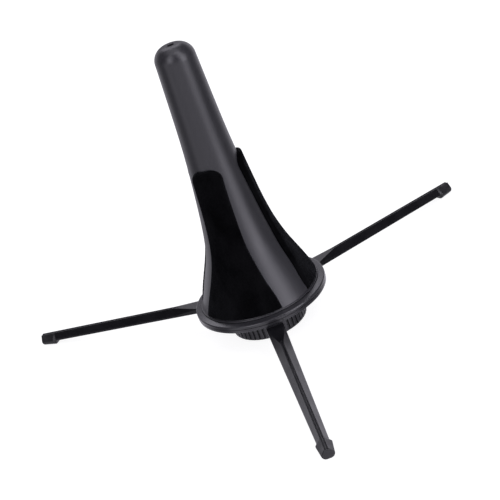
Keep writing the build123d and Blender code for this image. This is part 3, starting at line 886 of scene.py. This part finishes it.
# Light that reflections see, in degrees: round from the viewer, right positive, and up from level.
# A box is (azimuth, width, lowest, highest, strength), and a pair is where a fade starts and ends.
KEY_BOX = (42, 24, -8, 76, 3.9)
FILL_BOX = (-62, 18, -40, 6, 1.0)
HIGH_BOX = (-36, 22, 14, 56, 3.2)
BOX_SIDE_FEATHER = 7.0
BOX_END_FEATHER = 10.0
SWEEP_SIDE = (90, 150)
SWEEP_GAP = (160, 172)
SWEEP_HEIGHT = (14, 34)
SWEEP_LIGHT = 0.85
SWEEP_RIGHT_SHARE, SWEEP_LEFT_SHARE, SWEEP_GAP_SHARE = 1.3, 0.95, 0.4
GROUND_SIDE = (32, 58)
GROUND_HEIGHT = (-16, 22)
GROUND_LIGHT = 1.1
GROUND_SHARE_BEHIND = 0.12
BACK_SIDE = (152, 164)
BACK_BOTTOM = (27, 34)
BACK_TOP = (50, 62)
BACK_LIGHT = 2.2
TOP_HEIGHT = (56, 72)
TOP_LIGHT = 1.2
ROOM_LIGHT = 0.08
DIFFUSE_LIGHT = 0.55
CAMERA_LIGHT = 1.05
LIGHT_TINT = (0.965, 0.94, 1.04)


class Surround:
    """The world under construction: values that depend on the direction of a ray."""

    def __init__(self):
        world = bpy.data.worlds.new("studio")
        bpy.context.scene.world = world
        world.use_nodes = True
        self.tree = world.node_tree
        self.tree.nodes.clear()
        place = self.tree.nodes.new("ShaderNodeTexCoord")
        split = self.tree.nodes.new("ShaderNodeSeparateXYZ")
        self.tree.links.new(place.outputs["Generated"], split.inputs["Vector"])
        x, y, z = split.outputs["X"], split.outputs["Y"], split.outputs["Z"]
        round_about = self.maths("ARCTAN2", x, self.maths("MULTIPLY", y, -1.0))
        self.turn = self.maths("DEGREES", round_about)
        self.away = self.maths("ABSOLUTE", self.turn)
        self.lift = self.maths("DEGREES", self.maths("ARCSINE", z))

    def maths(self, operation, *values):
        node = self.tree.nodes.new("ShaderNodeMath")
        node.operation = operation
        for i, value in enumerate(values):
            if isinstance(value, (int, float)):
                node.inputs[i].default_value = value
            else:
                self.tree.links.new(value, node.inputs[i])
        return node.outputs["Value"]

    def product(self, *factors):
        total = factors[0]
        for factor in factors[1:]:
            total = self.maths("MULTIPLY", total, factor)
        return total

    def sum(self, *terms):
        total = terms[0]
        for term in terms[1:]:
            total = self.maths("ADD", total, term)
        return total

    def fade(self, value, limits, before, after):
        """A smooth change from one number before the first limit to another after the second."""
        node = self.tree.nodes.new("ShaderNodeMapRange")
        node.interpolation_type = "SMOOTHSTEP"
        numbers = {"From Min": limits[0], "From Max": limits[1], "To Min": before, "To Max": after}
        for socket, number in numbers.items():
            node.inputs[socket].default_value = number
        self.tree.links.new(value, node.inputs["Value"])
        return node.outputs["Result"]

    def soft_box(self, azimuth, width, low, high, strength):
        """A box of light round an azimuth, from one elevation to another."""
        off_centre = self.maths("ABSOLUTE", self.maths("SUBTRACT", self.turn, azimuth))
        sideways = self.fade(off_centre, (width / 2, width / 2 + BOX_SIDE_FEATHER), 1.0, 0.0)
        bottom = self.fade(self.lift, (low - BOX_END_FEATHER, low), 0.0, 1.0)
        top = self.fade(self.lift, (high, high + BOX_END_FEATHER), 1.0, 0.0)
        return self.product(sideways, bottom, top, strength)

    def choose(self, ray_kind, other, chosen):
        """The chosen value for one kind of ray, and the other value for the rest."""
        path = self.tree.nodes.new("ShaderNodeLightPath")
        node = self.tree.nodes.new("ShaderNodeMix")
        node.data_type = "FLOAT"
        self.tree.links.new(path.outputs[ray_kind], node.inputs[0])
        for socket, value in ((2, other), (3, chosen)):
            if isinstance(value, (int, float)):
                node.inputs[socket].default_value = value
            else:
                self.tree.links.new(value, node.inputs[socket])
        return node.outputs[0]


def make_world():
    """Studio surround: white to the camera, and soft boxes and a bright sweep in reflections."""
    sky = Surround()
    boxes = sky.sum(*(sky.soft_box(*box) for box in (KEY_BOX, FILL_BOX, HIGH_BOX)))
    right_side = sky.fade(sky.turn, SWEEP_SIDE, 0.0, SWEEP_RIGHT_SHARE)
    left_side = sky.fade(sky.turn, (-SWEEP_SIDE[1], -SWEEP_SIDE[0]), SWEEP_LEFT_SHARE, 0.0)
    gap = sky.fade(sky.away, SWEEP_GAP, 1.0, SWEEP_GAP_SHARE)
    low_down = sky.fade(sky.lift, SWEEP_HEIGHT, SWEEP_LIGHT, 0.0)
    sweep = sky.product(sky.sum(right_side, left_side), gap, low_down)
    in_front = sky.fade(sky.away, GROUND_SIDE, 1.0, GROUND_SHARE_BEHIND)
    ground = sky.product(sky.fade(sky.lift, GROUND_HEIGHT, GROUND_LIGHT, 0.0), in_front)
    behind = sky.fade(sky.away, BACK_SIDE, 0.0, 1.0)
    above_bottom = sky.fade(sky.lift, BACK_BOTTOM, 0.0, 1.0)
    back = sky.product(behind, above_bottom, sky.fade(sky.lift, BACK_TOP, BACK_LIGHT, 0.0))
    top = sky.fade(sky.lift, TOP_HEIGHT, 0.0, TOP_LIGHT)
    reflected = sky.sum(boxes, sweep, ground, back, top, ROOM_LIGHT)
    strength = sky.choose("Is Glossy Ray", DIFFUSE_LIGHT, reflected)
    strength = sky.choose("Is Camera Ray", strength, CAMERA_LIGHT)
    path = sky.tree.nodes.new("ShaderNodeLightPath")
    tint = sky.tree.nodes.new("ShaderNodeMix")
    tint.data_type = "RGBA"
    tint.inputs[6].default_value = (*LIGHT_TINT, 1)
    tint.inputs[7].default_value = (1, 1, 1, 1)
    background = sky.tree.nodes.new("ShaderNodeBackground")
    output = sky.tree.nodes.new("ShaderNodeOutputWorld")
    link = sky.tree.links.new
    link(path.outputs["Is Camera Ray"], tint.inputs[0])
    link(tint.outputs[2], background.inputs["Color"])
    link(strength, background.inputs["Strength"])
    link(background.outputs["Background"], output.inputs["Surface"])


def area_light(name, azimuth, elevation, distance, size, power):
    """Soft box aimed at the stand from an azimuth and elevation in degrees, seen only by its light."""
    a, e = math.radians(azimuth), math.radians(elevation)
    back = Vector((math.sin(a) * math.cos(e), -math.cos(a) * math.cos(e), math.sin(e)))
    light = bpy.data.lights.new(name, "AREA")
    light.shape = "RECTANGLE"
    light.size, light.size_y = size
    light.energy = power
    light.color = LIGHT_TINT
    lamp = bpy.data.objects.new(name, light)
    lamp.location = Vector((0, 0, 0.06)) + back * distance
    lamp.rotation_mode = "QUATERNION"
    lamp.rotation_quaternion = back.to_track_quat("Z", "Y")
    lamp.visible_glossy = False
    lamp.visible_camera = False
    bpy.context.scene.collection.objects.link(lamp)


make_floor()
make_world()
area_light("key_light", 40, 35, 1.5, (0.8, 1.2), 9)
area_light("fill_light", -60, 30, 1.5, (0.8, 1.2), 4)
area_light("back_light", 180, 50, 1.8, (1.6, 1.0), 6)

# Camera: degrees round from the front, up and about its own axis; millimetres from the target
CAMERA_AZIMUTH, CAMERA_ELEVATION, CAMERA_ROLL = -1.60, 25.45, -19.99
CAMERA_DISTANCE = 806.4
CAMERA_SLIDE = (-4.94, 20.36)
CAMERA_LENS = 111.84
CAMERA_TARGET_HEIGHT = 19.85

a, e, tilt = (math.radians(v) for v in (CAMERA_AZIMUTH, CAMERA_ELEVATION, CAMERA_ROLL))
back = Vector((math.sin(a) * math.cos(e), -math.cos(a) * math.cos(e), math.sin(e)))
level = Vector((math.cos(a), math.sin(a), 0))
upright = back.cross(level)
right = level * math.cos(tilt) + upright * math.sin(tilt)
up = upright * math.cos(tilt) - level * math.sin(tilt)
place = Vector((0, 0, CAMERA_TARGET_HEIGHT)) + back * CAMERA_DISTANCE
place += right * CAMERA_SLIDE[0] + up * CAMERA_SLIDE[1]
matrix = Matrix.Identity(4)
for i, column in enumerate((right, up, back, place * MM)):
    matrix.col[i][:3] = column
camera_data = bpy.data.cameras.new("camera")
camera_data.lens = CAMERA_LENS
camera_data.sensor_width = 36.0
camera = bpy.data.objects.new("camera", camera_data)
camera.matrix_world = matrix
bpy.context.scene.collection.objects.link(camera)
bpy.context.scene.camera = camera
bpy.context.scene.view_settings.view_transform = "Standard"
